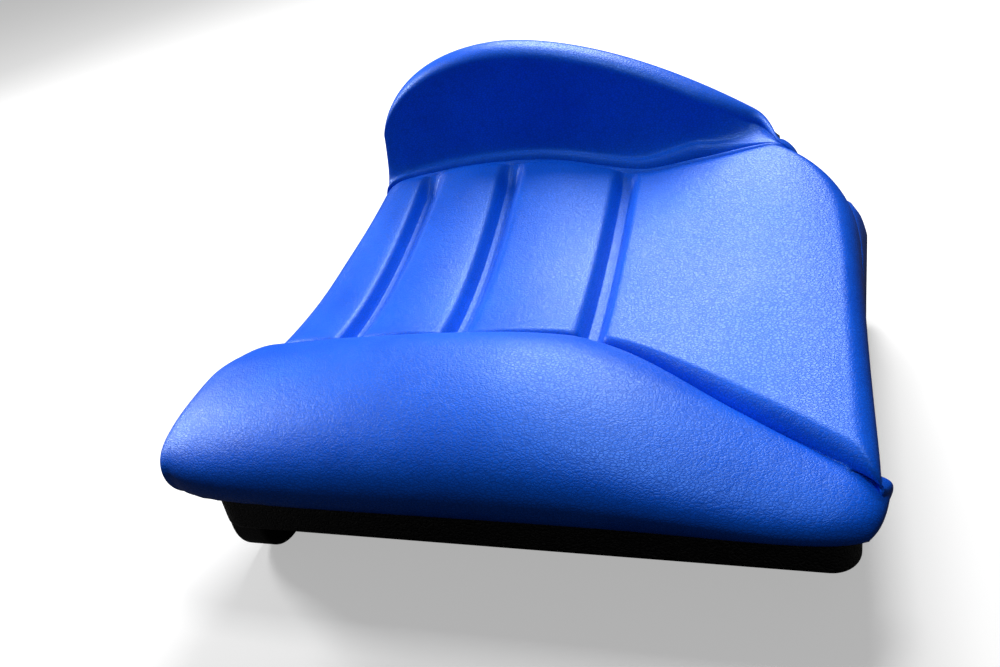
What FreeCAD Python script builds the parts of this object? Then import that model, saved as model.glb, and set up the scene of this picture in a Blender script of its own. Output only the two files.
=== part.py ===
# A padded stadium seat: a vinyl cushion with a front roll, channelled pads and a low back,
# on a moulded tray with side runners. Millimetres, +Z up, +Y to the rear, the sitter's left is +X.
# The origin is on the standing surface, under the middle of the seat.
import FreeCAD, Part
import Sketcher
import math
import os
import re

os.makedirs("parts", exist_ok=True)
doc = FreeCAD.newDocument("stadium_seat")
Vec = FreeCAD.Vector

sheet = doc.addObject("Spreadsheet::Sheet", "Sizes")
sizes = {
    # tray and runners
    "trayHalfWidth": 216,
    "trayFront": -195,
    "trayDepth": 390,
    "trayWall": 3.5,
    "trayFloor": 3.5,
    "trayCorner": 18,
    "trayRearCorner": 42,
    "trayEdgeRound": 5,
    "skirtHeight": 39,
    "runnerHeight": 45,
    "runnerWidth": 26,
    "runnerInset": 1,
    "runnerFrontGap": 9,
    "rightRunnerFrontGap": 45,
    "runnerRearGap": 24,
    "runnerNose": 36,
    "runnerRound": 3,
    "runnerScrewSpacing": 130,
    "footThickness": 3,
    "footLength": 70,
    "footWidth": 18,
    "footInset": 4,
    # seat board, firm slab and the cover's turned-under hem
    "hemThickness": 1.2,
    "hemWidth": 26,
    "boardThickness": 9,
    "boardInset": 4,
    "boardFront": 14,
    "slabThickness": 10,
    "slabInset": 5,
    # wood screws and washers
    "postRadius": 9,
    "postGap": 19,
    "postSpanY": 270,
    "screwShank": 2.1,
    "screwHead": 4.5,
    "screwHeadHeight": 2.6,
    "screwBite": 6.5,
    "runnerBite": 14,
    "screwWasher": 6.5,
    "screwWasherThickness": 1,
    "screwClearance": 0.4,
    # fixing rails, clamp bolts and tee nuts
    "railGap": 13,
    "railWidth": 40,
    "railThickness": 4,
    "railSpacing": 200,
    "fixingEnd": 26,
    "fixingHole": 4.5,
    "fixingRelief": 1.5,
    "clampSpacing": 180,
    "boltRadius": 4,
    "boltClearance": 0.4,
    "boltHead": 6.5,
    "boltHeadHeight": 5.3,
    "washerRadius": 9,
    "washerThickness": 1.6,
    "nutFlange": 11,
    "nutFlangeThickness": 1.2,
    "nutBarrel": 5.2,
    "threadFit": 0.05,
    "drainWidth": 8,
    "drainLength": 40,
    "drainSpacing": 60,
    # pads of the seat
    "channelWidth": 13,
    "channelDepth": 9,
    "shoulder": 9,
    "padGap": 0.3,
    "padCrown": 3,
    "rollOverhang": 25,
    "rollHeight": 69,
    "rollLeftDrop": 15,
    "rollRightDrop": 40,
    "rollRightFoot": 190,
    "rollEndOverhang": 18,
    "rollEndRound": 36,
    "rollEndLift": 26,
    "rollEndCut": 60,
    "rollEndRoom": 12,
    "rollRear": -68,
    "rollSweep": 72,
    "sweepGap": 2,
    "leftPadOverhang": 5,
    "leftChannel": -155,
    "middleChannel": -72,
    "rightChannel": 28,
    "rightPadOverhang": 8,
    "panFrontThickness": 22.8,
    "panEdgeDrop": 15,
    "panRearThickness": 43.8,
    "panRearRise": 25,
    "panSag": 1.6,
    "panRear": 168,
    # back
    "backLean": 9,
    "backFoot": 183,
    "backPeak": -95,
    "backLeft": -190,
    "backRight": 141,
    "backBoardHeight": 152,
    "backBoardThickness": 8,
    "backCurve": 352,
    "backShoulder": 125,
    "backHemWidth": 24,
    "backShellThickness": 3.5,
    "backShellMargin": 5,
    "backShellLip": 9,
    "backPadMargin": 12,
    "backPadLow": 142,
    "backPadThickness": 30,
    "backPadSwell": 0.03,
    "shellScrewLeft": -150,
    "shellScrewRight": 105,
    "shellScrewLow": 34,
    "shellScrewRise": 46,
    "bracketLeg": 46,
    "bracketWidth": 32,
    "bracketThickness": 3,
    "bracketSpacing": 220,
    # staples
    "stapleCrown": 10,
    "stapleWire": 1.1,
    "stapleLeg": 5,
    "stapleInset": 12,
    "stapleEnd": 30,
    "staplesAcross": 7,
    "staplesDeep": 6,
}
for row, (name, value) in enumerate(sizes.items(), start=1):
    cell = "A%d" % row
    sheet.set(cell, str(value))
    sheet.setAlias(cell, name)
doc.recompute()


def size(name):
    return float(sheet.get(name))


def withSheet(text):
    # each word of an expression that names a size is read from the sheet
    return re.sub(r"[A-Za-z]\w*", lambda word: "Sizes." + word[0] if word[0] in sizes else word[0], text)


def bind(item, **expressions):
    for prop, text in expressions.items():
        item.setExpression(prop.replace("_", "."), withSheet(text))


def place(item, x, y, z):
    bind(item, Placement_Base_x=x, Placement_Base_y=y, Placement_Base_z=z)


def box(name, x, y, z, length, width, height):
    # x is the middle of the length; y and z are the low sides
    item = doc.addObject("Part::Box", name)
    bind(item, Length=length, Width=width, Height=height)
    place(item, "%s - ( %s ) / 2" % (x, length), y, z)
    return item


def cylinder(name, x, y, z, radius, height):
    item = doc.addObject("Part::Cylinder", name)
    bind(item, Radius=radius, Height=height)
    place(item, x, y, z)
    return item


def hexagon(name, x, y, z, acrossFlats, height):
    item = doc.addObject("Part::Prism", name)
    item.Polygon = 6
    bind(item, Circumradius="%s / cos(30)" % acrossFlats, Height=height)
    place(item, x, y, z)
    return item


def cut(name, base, tool):
    item = doc.addObject("Part::Cut", name)
    item.Base = base
    item.Tool = tool
    return item


def fuse(name, items):
    item = doc.addObject("Part::MultiFuse", name)
    item.Shapes = items
    return item


def group(name, items):
    # separate solids kept side by side in one piece
    item = doc.addObject("Part::Compound", name)
    item.Links = items
    return item


def fillet(name, base, radius, choose, rearRadius=None):
    # rounds the edges that choose() picks; those in the rear half may have a radius of their own
    doc.recompute()
    middle = base.Shape.BoundBox.Center.y
    item = doc.addObject("Part::Fillet", name)
    item.Base = base
    edges = []
    for i, edge in enumerate(base.Shape.Edges, start=1):
        if choose(edge):
            isRear = rearRadius is not None and edge.BoundBox.Center.y > middle
            here = rearRadius if isRear else radius
            edges.append((i, here, here))
    item.Edges = edges
    return item


def isUpright(edge):
    bounds = edge.BoundBox
    return bounds.ZLength > 1 and bounds.XLength < 0.01 and bounds.YLength < 0.01


def roundedBox(name, x, y, z, length, width, height, radius, rearRadius=None):
    block = box(name + "Block", x, y, z, length, width, height)
    return fillet(name, block, radius, isUpright, rearRadius)


def fourAt(make, name, spanX, spanY):
    # one copy at each corner of a rectangle about the middle of the tray
    corners = [(-1, -1), (1, -1), (-1, 1), (1, 1)]
    return [make("%s%d" % (name, i), "%d * %s / 2" % (sx, spanX), "%s + %d * %s / 2" % (trayMiddle, sy, spanY))
            for i, (sx, sy) in enumerate(corners)]


kept = []


def keep(item, label):
    item.Label = label
    kept.append(item)
    return item


# Levels and lines that several pieces share
trayMiddle = "( trayFront + trayDepth / 2 )"
floorTop = "( runnerHeight + trayFloor )"
rimTop = "( runnerHeight + skirtHeight )"
boardLow = "( runnerHeight + skirtHeight + hemThickness )"
boardTop = "( runnerHeight + skirtHeight + hemThickness + boardThickness )"
boardWidth = "2 * ( trayHalfWidth - boardInset )"
boardDepth = "( trayDepth - boardFront - boardInset )"
boardStart = "( trayFront + boardFront )"
runnerMiddle = "( trayHalfWidth - runnerInset - runnerWidth / 2 )"
railLength = "( 2 * ( trayHalfWidth - runnerInset - runnerWidth - railGap ) )"
fixingSpacing = "( %s - 2 * fixingEnd )" % railLength
postSpanX = "( 2 * ( trayHalfWidth - runnerInset - runnerWidth - postGap ) )"
rimLevel = size("runnerHeight") + size("skirtHeight")
boardLevel = rimLevel + size("hemThickness") + size("boardThickness")
slabLevel = boardLevel + size("slabThickness")
leftPadEdge = -size("trayHalfWidth") - size("leftPadOverhang")
rightPadEdge = size("trayHalfWidth") + size("rightPadOverhang")

# The back stands clear of the seat board by as much as its lean lowers its rear face
shellStart = size("backBoardThickness") + size("hemThickness") + size("stapleWire") + size("padGap")
backRise = (shellStart + size("backShellThickness")) * math.tan(math.radians(size("backLean"))) + size("padGap")


# Wood screws that stand upright: headDown puts the head below and the shank above it
def screw(name, x, y, seat, grip, headDown=True):
    # seat is the level that the head bears on, grip the shank's length
    if headDown:
        head = cylinder(name + "Head", x, y, seat + " - screwHeadHeight", "screwHead", "screwHeadHeight")
        shank = cylinder(name + "Shank", x, y, seat, "screwShank", grip)
    else:
        head = cylinder(name + "Head", x, y, seat, "screwHead", "screwHeadHeight")
        shank = cylinder(name + "Shank", x, y, "%s - ( %s )" % (seat, grip), "screwShank", grip)
    return fuse(name, [head, shank])


def ring(name, x, y, z, outer, bore, height):
    disc = cylinder(name + "Disc", x, y, z, outer, height)
    hole = cylinder(name + "Bore", x, y, z, bore, height)
    return cut(name, disc, hole)


# Tray screws go up through the tray's posts into the seat board
def makeTrayScrews():
    seat = "( runnerHeight - screwWasherThickness )"
    grip = "screwWasherThickness + skirtHeight + hemThickness + screwBite"
    keep(group("trayScrews", fourAt(lambda name, x, y: screw(name, x, y, seat, grip),
                                    "trayScrew", postSpanX, "postSpanY")), "tray_screws")
    keep(group("trayScrewWashers", fourAt(
        lambda name, x, y: ring(name, x, y, seat, "screwWasher", "screwShank + threadFit", "screwWasherThickness"),
        "trayScrewWasher", postSpanX, "postSpanY")), "tray_screw_washers")
    return doc.getObject("trayScrews")


# Runner screws go down through the tray's floor into the side runners
def makeRunnerScrews():
    items = []
    for side in (-1, 1):
        for i in (-1, 0, 1):
            x = "%d * %s" % (side, runnerMiddle)
            y = "%s + %d * runnerScrewSpacing" % (trayMiddle, i)
            items.append(screw("runnerScrew%d%d" % (side + 1, i + 1), x, y, floorTop,
                               "trayFloor + runnerBite", headDown=False))
    return keep(group("runnerScrews", items), "runner_screws")


# Tray: an open box with round corners, posts inside it and holes through its floor
def makeTray(runnerScrews):
    block = roundedBox("trayBlock", "0", "trayFront", "runnerHeight", "2 * trayHalfWidth", "trayDepth",
                       "skirtHeight", size("trayCorner"), size("trayRearCorner"))
    low = size("runnerHeight") + 0.1
    edged = fillet("trayEdges", block, size("trayEdgeRound"), lambda edge: edge.BoundBox.ZMax < low)
    hollow = roundedBox("trayHollow", "0", "trayFront + trayWall", floorTop,
                        "2 * ( trayHalfWidth - trayWall )", "trayDepth - 2 * trayWall", "skirtHeight",
                        size("trayCorner") - size("trayWall"), size("trayRearCorner") - size("trayWall"))
    posts = []
    holes = []
    for name, spanX, spanY, bore in (("post", postSpanX, "postSpanY", "screwShank + screwClearance"),
                                     ("clampPost", "clampSpacing", "railSpacing", "boltRadius + boltClearance")):
        posts += fourAt(lambda label, x, y: cylinder(label, x, y, "runnerHeight", "postRadius",
                                                     "skirtHeight + hemThickness"), name, spanX, spanY)
        holes += fourAt(lambda label, x, y: cylinder(label, x, y, "runnerHeight", bore,
                                                     "skirtHeight + hemThickness"), name + "Bore", spanX, spanY)
    holes += fourAt(lambda label, x, y: cylinder(label, x, y, "runnerHeight", "fixingHole + fixingRelief",
                                                 "trayFloor"), "fixingRelief", fixingSpacing, "railSpacing")
    for i in (-1, 0, 1):
        holes.append(box("drain%d" % (i + 1), "%d * drainSpacing" % i, trayMiddle + " - drainLength / 2",
                         "runnerHeight", "drainWidth", "drainLength", "trayFloor"))
    solid = fuse("traySolid", [cut("trayShell", edged, hollow)] + posts)
    keep(cut("tray", cut("trayBored", solid, fuse("trayHoles", holes)), runnerScrews), "base_tray")


# Runners: a moulded leg along each side, with a round nose and heel
def makeRunner(side, label, frontGap, runnerScrews):
    block = box(label + "Block", "%d * %s" % (side, runnerMiddle), "trayFront + " + frontGap, "footThickness",
                "runnerWidth", "trayDepth - %s - runnerRearGap" % frontGap, "runnerHeight - footThickness")
    low = size("footThickness") + 0.1
    nosed = fillet(label + "Nose", block, size("runnerNose"),
                   lambda edge: edge.BoundBox.ZMax < low and edge.BoundBox.XLength > 1)
    long = size("trayDepth") / 2
    softened = fillet(label + "Soft", nosed, size("runnerRound"),
                      lambda edge: edge.BoundBox.ZMax < low and edge.BoundBox.YLength > long)
    keep(cut(label, softened, runnerScrews), label)


# Feet: four rubber strips under the runners, a pair behind the noses and a pair before the heels
def makeFeet():
    front = "trayFront + rightRunnerFrontGap + runnerNose + footInset"
    rear = "trayFront + trayDepth - runnerRearGap - runnerNose - footInset - footLength"
    feet = []
    for side in (-1, 1):
        for i, y in enumerate((front, rear)):
            feet.append(box("foot%d%d" % (side + 1, i), "%d * %s" % (side, runnerMiddle), y, "0", "footWidth",
                            "footLength", "footThickness"))
    keep(group("feet", feet), "foot_pads")


# Fixing rails: flat steel under the tray's floor, with clamp holes and free fixing holes
def makeRail(side, label):
    y = "%s + %d * railSpacing / 2" % (trayMiddle, side)
    z = "runnerHeight - railThickness"
    bar = roundedBox(label + "Bar", "0", y + " - railWidth / 2", z, railLength, "railWidth",
                     "railThickness", size("railWidth") / 4)
    holes = []
    for use, span, radius in (("Clamp", "clampSpacing", "boltRadius + boltClearance"),
                              ("Fixing", fixingSpacing, "fixingHole")):
        for end in (-1, 1):
            holes.append(cylinder("%s%s%d" % (label, use, end + 1), "%d * %s / 2" % (end, span), y, z, radius,
                                  "railThickness"))
    keep(cut(label, bar, fuse(label + "Holes", holes)), label)


# Clamp bolts draw the rails, the tray and the seat board together, with a tee nut in the board
def makeClamps():
    washerLow = "( runnerHeight - railThickness - washerThickness )"
    grip = "washerThickness + railThickness + skirtHeight + hemThickness + boardThickness"

    def bolt(name, x, y):
        head = hexagon(name + "Head", x, y, washerLow + " - boltHeadHeight", "boltHead", "boltHeadHeight")
        return fuse(name, [head, cylinder(name + "Shank", x, y, washerLow, "boltRadius", grip)])

    def washer(name, x, y):
        return ring(name, x, y, washerLow, "washerRadius", "boltRadius + threadFit", "washerThickness")

    def nut(name, x, y):
        barrel = cylinder(name + "Barrel", x, y, boardLow, "nutBarrel", "boardThickness")
        flange = cylinder(name + "Flange", x, y, boardTop, "nutFlange", "nutFlangeThickness")
        bore = cylinder(name + "Bore", x, y, boardLow, "boltRadius + threadFit",
                        "boardThickness + nutFlangeThickness")
        return cut(name, fuse(name + "Solid", [barrel, flange]), bore)

    for make, name, label in ((bolt, "bolt", "clamp_bolts"), (washer, "washer", "clamp_washers"),
                              (nut, "nut", "tee_nuts")):
        keep(group(name + "s", fourAt(make, name, "clampSpacing", "railSpacing")), label)


# Staples: a crown under the hem and two legs, turned to lie along or across the edge
def staple(name, x, y, z, along):
    length, width = ("stapleCrown", "stapleWire") if along else ("stapleWire", "stapleCrown")
    parts = [box(name + "Crown", x, "%s - ( %s ) / 2" % (y, width), z + " - stapleWire", length, width,
                 "stapleWire")]
    for end in (-1, 1):
        shift = " + %d * ( stapleCrown - stapleWire ) / 2" % end
        legX, legY = (x + shift, y) if along else (x, y + shift)
        parts.append(box("%sLeg%d" % (name, end + 1), legX, legY + " - stapleWire / 2", z, "stapleWire",
                         "stapleWire", "stapleLeg"))
    return fuse(name, parts)


def makeSeatStaples():
    items = []
    across = int(size("staplesAcross"))
    deep = int(size("staplesDeep"))
    straight = "( 2 * ( trayHalfWidth - trayRearCorner ) )"
    for i in range(across):
        x = "%s * %f" % (straight, i / (across - 1) - 0.5)
        for side, y in ((0, boardStart + " + stapleInset"),
                        (1, "%s + %s - stapleInset" % (boardStart, boardDepth))):
            items.append(staple("stapleRow%d_%d" % (side, i), x, y, rimTop, True))
    for i in range(deep):
        y = "%s + ( trayDepth - 2 * trayRearCorner ) * %f" % (trayMiddle, i / (deep - 1) - 0.5)
        for side in (-1, 1):
            x = "%d * ( trayHalfWidth - boardInset - stapleInset )" % side
            items.append(staple("stapleSide%d_%d" % (side + 1, i), x, y, rimTop, False))
    return keep(group("seatStaples", items), "seat_cover_staples")


# Hem: the cover's edge, turned under the seat board and round its sides
def makeHem(staples):
    radius = size("trayCorner") - size("boardInset")
    rearRadius = size("trayRearCorner") - size("boardInset")
    outer = roundedBox("hemOuter", "0", boardStart + " - hemThickness", rimTop, boardWidth + " + 2 * hemThickness",
                       boardDepth + " + 2 * hemThickness", "hemThickness + boardThickness",
                       radius + size("hemThickness"), rearRadius + size("hemThickness"))
    boardRoom = roundedBox("hemBoardRoom", "0", boardStart, boardLow, boardWidth, boardDepth, "boardThickness",
                           radius, rearRadius)
    window = roundedBox("hemWindow", "0", boardStart + " + hemWidth", rimTop, boardWidth + " - 2 * hemWidth",
                        boardDepth + " - 2 * hemWidth", "hemThickness", size("trayRearCorner") / 3)
    opened = cut("hemOpened", outer, fuse("hemRoom", [boardRoom, window]))
    keep(cut("hem", opened, staples), "seat_cover_hem")


# Seat board: plywood, bored for the tee nuts, with every screw and staple driven into it
def makeSeatBoard(driven):
    blank = roundedBox("seatBoardBlank", "0", boardStart, boardLow, boardWidth, boardDepth, "boardThickness",
                       size("trayCorner") - size("boardInset"), size("trayRearCorner") - size("boardInset"))
    seats = fourAt(lambda name, x, y: cylinder(name, x, y, boardLow, "nutBarrel", "boardThickness"),
                   "nutSeat", "clampSpacing", "railSpacing")
    bored = cut("seatBoardBored", blank, fuse("nutSeats", seats))
    for i, item in enumerate(driven):
        bored = cut("seatBoardDriven%d" % i, bored, item)
    keep(bored, "seat_board")


# Slab: the firm foam under the pads, hollowed over the tee nuts and short of the brackets
def makeSlab():
    depth = "backFoot - bracketLeg - slabInset / 2 - ( %s )" % boardStart
    block = roundedBox("slabBlock", "0", boardStart, boardTop, "2 * ( trayHalfWidth - slabInset )", depth,
                       "slabThickness", size("trayRearCorner") / 2)
    sinks = fourAt(lambda name, x, y: cylinder(name, x, y, boardTop, "nutFlange + padGap",
                                               "nutFlangeThickness + padGap"),
                   "nutSink", "clampSpacing", "railSpacing")
    keep(cut("slab", block, fuse("nutSinks", sinks)), "seat_foam_slab")


# Soft pads: closed solids lofted through sections of lines and arcs
def section(points):
    # each item is a corner, or an arc's middle and its end; the outline closes on the first point
    edges = []
    start = points[0]
    for item in points[1:] + [points[0]]:
        if isinstance(item, tuple):
            middle, end = item
            edges.append(Part.Arc(start, middle, end).toShape())
            start = end
        elif item.distanceToPoint(start) > 0.001:
            edges.append(Part.LineSegment(start, item).toShape())
            start = item
    return Part.Wire(edges)


def soft(label, sections, ruled=False):
    item = doc.addObject("Part::Feature", label + "Loft")
    item.Shape = Part.makeLoft(sections, True, ruled)
    item.Placement = FreeCAD.Placement()
    keep(item, label)


def panHeight(x, share):
    # the pan's height, from the roll at share 0 to the back at share 1, dropping to its sides
    front = slabLevel + size("panFrontThickness") - size("panEdgeDrop") * (x / size("trayHalfWidth")) ** 2
    reach = (min(x, size("backRight")) - size("middleChannel")) / (size("backRight") - size("middleChannel"))
    rear = slabLevel + size("panRearThickness") + size("panRearRise") * max(reach, 0) ** 2
    return front + (rear - front) * share ** size("panSag")


def rollRearAt(x):
    # the valley behind the roll: straight to the right channel, then sweeping forward
    beyond = max(x - size("rightChannel"), 0) / (size("trayHalfWidth") - size("rightChannel"))
    return size("rollRear") - size("rollSweep") * beyond ** 2


def makeFlute(label, leftX, rightX, openLeft=False):
    # a pad that runs from the roll to the back, with a channel at each side that isn't open
    gap = size("padGap") / 2
    half = size("channelWidth") / 2
    depth = size("channelDepth")
    shoulder = size("shoulder")
    base = slabLevel + size("padGap")
    front = size("rollRear") + gap
    rear = size("panRear") - gap
    sections = []
    for share in (0, 0.25, 0.5, 0.75, 1):
        y = front + (rear - front) * share
        ends = []
        for x, inward, isOpen in ((leftX, 1, openLeft), (rightX, -1, False)):
            top = panHeight(x, share)
            if isOpen:
                foot = Vec(x + inward * 10, y, base)
                side = Vec(x, y, base + (top - base) * 0.45)
                shelf = side
                bend = Vec(x + inward * shoulder * 0.35, y, top - (top - side.z) * 0.28)
            else:
                foot = Vec(x + inward * gap, y, base)
                side = Vec(x + inward * gap, y, top - depth)
                shelf = Vec(x + inward * half, y, top - depth)
                bend = Vec(x + inward * (half + shoulder * 0.3), y, top - depth * 0.28)
            high = Vec(x + inward * (half + shoulder), y, top)
            ends.append((foot, side, shelf, bend, high))
        left, right = ends
        crown = (left[4] + right[4]) * 0.5 + Vec(0, 0, size("padCrown"))
        points = [left[0], left[1], left[2], (left[3], left[4]), (crown, right[4]), (right[3], right[2]),
                  right[1], right[0]]
        sections.append(section(points))
    soft(label, sections)


def makeRightPad():
    # the plain pad: its front edge follows the roll's sweep, its rear corner is rounded off
    gap = size("padGap") / 2
    left = size("rightChannel")
    right = rightPadEdge
    half = size("channelWidth") / 2
    base = slabLevel + size("padGap")
    rear = size("panRear") - gap
    shoulder = size("shoulder")
    sections = []
    depth = size("channelDepth")
    crown = size("padCrown")
    # each station: its place, how far it lies below the pan, and how far its rear corner is cut back
    stations = [(left + gap, depth, 0), (left + half, depth, 0), (left + half + shoulder * 0.4, depth * 0.3, 0),
                (left + half + shoulder, 0, 0), (left + (right - left) * 0.35, -crown, 0),
                (left + (right - left) * 0.55, -crown, 0), (left + (right - left) * 0.75, -crown * 0.4, 6),
                (right - 24, 1, 18), (right - 10, 4, 34), (right - 3, 9, 46), (right, 16, 54)]
    for x, below, cutBack in stations:
        front = rollRearAt(x) + size("sweepGap")
        back = rear - cutBack
        frontTop = max(panHeight(x, 0) - below - depth * 0.5, base + 1)
        rearTop = max(panHeight(x, 1) - below, base + 2)
        middle = Vec(x, (front + back) / 2, max(panHeight(x, 0.5) - below, base + 1.6))
        sections.append(section([Vec(x, front, base), Vec(x, front, frontTop),
                                 (middle, Vec(x, back, rearTop)), Vec(x, back, base)]))
    soft("right_side_pad", sections, ruled=True)


# Front roll: a fat crowned bolster that comes down over the tray's front edge
def makeRoll():
    front = size("trayFront")
    gap = size("padGap")
    step = front + size("boardFront") - size("hemThickness") - gap
    reach = size("trayHalfWidth") + size("rollEndOverhang")
    sections = []
    halves = [reach * share for share in (0, 0.22, 0.43, 0.62, 0.77, 0.87, 0.93, 0.975, 1)]
    for x in [-half for half in reversed(halves[1:])] + halves:
        fade = math.sqrt(1 - (max(abs(x) - reach + size("rollEndRound"), 0) / size("rollEndRound") * 0.89) ** 2)
        if x < 0:
            drop = size("rollLeftDrop") * (x / reach) ** 2
        else:
            drop = size("rollRightDrop") * min(x / size("rollRightFoot"), 1) ** 2.2
        crest = rimLevel + size("rollHeight") - drop
        low = rimLevel + gap + (1 - fade) * size("rollEndLift")
        high = low + (crest - low) * (0.35 + 0.65 * fade)
        shelf = max(slabLevel + gap, low + 2)
        cutBack = min(rollRearAt(x) - step - size("rollEndRoom"), size("rollEndCut"))
        rear = rollRearAt(x) - gap / 2 - (1 - fade) * cutBack
        rearTop = max(min(panHeight(x, 0) - size("channelDepth"), high - 8), shelf + 2)
        toe = Vec(x, front - 3, low)
        nose = Vec(x, front - size("rollOverhang") * fade, (low + high) / 2)
        top = Vec(x, front + (rear - front) * 0.55, high)
        brow = Vec(x, nose.y + (top.y - nose.y) * 0.27, high - (high - nose.z) * 0.31)
        nape = Vec(x, top.y + (rear - top.y) * 0.6, rearTop + (high - rearTop) * 0.72)
        chin = Vec(x, nose.y + 4, (low + nose.z) / 2 - 4)
        sections.append(section([toe, Vec(x, step, low), Vec(x, step, shelf), Vec(x, rear, shelf),
                                 Vec(x, rear, rearTop), (nape, top), (brow, nose), (chin, toe)]))
    soft("front_roll", sections, ruled=True)


# Back: everything on it is set out on an upright plane, then leaned to the rear about its foot
def leaned(x, y, z, turn=0):
    tilt = FreeCAD.Rotation(Vec(1, 0, 0), -size("backLean"))
    foot = FreeCAD.Placement(Vec(0, size("backFoot"), boardLevel), tilt)
    return foot.multiply(FreeCAD.Placement(Vec(x, y, z), FreeCAD.Rotation(Vec(1, 0, 0), turn)))


def backPanel(name, depth, margin, start, low):
    # a panel with the back's outline: a round left shoulder, then a long fall to the right
    body = doc.addObject("PartDesign::Body", name)
    drawing = body.newObject("Sketcher::SketchObject", name + "Outline")
    plane = [item for item in body.Origin.OriginFeatures if item.Role == "XZ_Plane"][0]
    drawing.AttachmentSupport = (plane, [""])
    drawing.MapMode = "FlatFace"
    left = size("backLeft") - margin
    right = size("backRight") + margin
    peak = size("backPeak")
    top = size("backBoardHeight") + margin
    curve = size("backCurve") + margin
    shoulder = size("backShoulder") + margin
    rightTop = top - curve + math.sqrt(curve ** 2 - (right - peak) ** 2)
    leftTop = top - shoulder + math.sqrt(shoulder ** 2 - (peak - left) ** 2)
    up = Vec(0, 0, 1)
    rightAngle = math.atan2(rightTop - top + curve, right - peak)
    leftAngle = math.atan2(leftTop - top + shoulder, left - peak)
    drawing.addGeometry([
        Part.LineSegment(Vec(left, low, 0), Vec(right, low, 0)),
        Part.LineSegment(Vec(right, low, 0), Vec(right, rightTop, 0)),
        Part.ArcOfCircle(Part.Circle(Vec(peak, top - curve, 0), up, curve), rightAngle, math.pi / 2),
        Part.ArcOfCircle(Part.Circle(Vec(peak, top - shoulder, 0), up, shoulder), math.pi / 2, leftAngle),
        Part.LineSegment(Vec(left, leftTop, 0), Vec(left, low, 0))], False)
    rules = [Sketcher.Constraint("Coincident", i, 2, (i + 1) % 5, 1) for i in range(5)]
    rules += [Sketcher.Constraint("Horizontal", 0), Sketcher.Constraint("Vertical", 1),
              Sketcher.Constraint("Vertical", 4)]
    drawing.addConstraint(rules)
    measures = [("DistanceX", "left", 0, 1, left, "backLeft - %f" % margin),
                ("DistanceX", "right", 0, 2, right, "backRight + %f" % margin),
                ("DistanceY", "low", 0, 1, low, "%f" % low),
                ("DistanceX", "curveMiddle", 2, 3, peak, "backPeak"),
                ("DistanceX", "shoulderMiddle", 3, 3, peak, "backPeak"),
                ("DistanceX", "peak", 2, 2, peak, "backPeak"),
                ("DistanceY", "top", 2, 2, top, "backBoardHeight + %f" % margin)]
    for kind, label, element, point, value, text in measures:
        index = drawing.addConstraint(Sketcher.Constraint(kind, -1, 1, element, point, value))
        drawing.renameConstraint(index, label)
        drawing.setExpression("Constraints." + label, withSheet(text))
    for label, element, value, text in (("curve", 2, curve, "backCurve + %f" % margin),
                                        ("shoulder", 3, shoulder, "backShoulder + %f" % margin)):
        index = drawing.addConstraint(Sketcher.Constraint("Radius", element, value))
        drawing.renameConstraint(index, label)
        drawing.setExpression("Constraints." + label, withSheet(text))
    pad = body.newObject("PartDesign::Pad", name + "Pad")
    pad.Profile = drawing
    pad.Reversed = True
    bind(pad, Length=depth)
    body.Placement = leaned(0, start, 0)
    return body


def leanedCylinder(name, x, y, z, radius, height):
    # lies square to the back's plane, from its place towards the rear
    item = doc.addObject("Part::Cylinder", name)
    bind(item, Radius=radius, Height=height)
    item.Placement = leaned(x, y, z, -90)
    return item


def leanedScrew(name, x, y, z, gripStart, grip):
    # the head stands on the side of y that the grip leaves; both are measured from the back's plane
    head = leanedCylinder(name + "Head", x, y, z, "screwHead", "screwHeadHeight")
    shank = leanedCylinder(name + "Shank", x, gripStart, z, "screwShank", grip)
    return fuse(name, [head, shank])


def makeBackStaples():
    # one row below the top edge, behind the board, following its curve
    items = []
    thickness = size("backBoardThickness") + size("hemThickness")
    across = int(size("staplesAcross"))
    for i in range(across):
        share = i / (across - 1)
        x = size("backLeft") + size("stapleEnd")
        x += (size("backRight") - size("backLeft") - 2 * size("stapleEnd")) * share
        curve = size("backCurve") if x > size("backPeak") else size("backShoulder")
        top = size("backBoardHeight") - curve + math.sqrt(curve ** 2 - (x - size("backPeak")) ** 2)
        z = top - size("stapleInset")
        parts = []
        for name, dx, dy, length, width in (("Crown", 0, 0, "stapleCrown", "stapleWire"),
                                            ("LegA", 0, -size("stapleLeg"), "stapleWire", "stapleLeg"),
                                            ("LegB", size("stapleCrown") - size("stapleWire"),
                                             -size("stapleLeg"), "stapleWire", "stapleLeg")):
            part = doc.addObject("Part::Box", "backStaple%d%s" % (i, name))
            bind(part, Length=length, Width=width, Height="stapleWire")
            part.Placement = leaned(x - size("stapleCrown") / 2 + dx, thickness + dy, z)
            parts.append(part)
        items.append(fuse("backStaple%d" % i, parts))
    return keep(group("backStaples", items), "back_cover_staples")


def makeBracketScrews():
    # two in each leg: down into the seat board, and to the rear into the back board
    flat = []
    upright = []
    for side in (-1, 1):
        for i, share in enumerate((0.42, 0.8)):
            y = "backFoot - bracketLeg * %f" % share
            x = "%d * bracketSpacing / 2" % side
            flat.append(screw("flatScrew%d%d" % (side + 1, i), x, y, boardTop + " + bracketThickness",
                              "bracketThickness + screwBite", headDown=False))
            thick = size("bracketThickness")
            upright.append(leanedScrew("uprightScrew%d%d" % (side + 1, i), side * size("bracketSpacing") / 2,
                                       -thick - size("screwHeadHeight"), size("bracketLeg") * share,
                                       -thick, "bracketThickness + screwBite"))
    return keep(group("bracketScrews", flat + upright), "bracket_screws")


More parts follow.
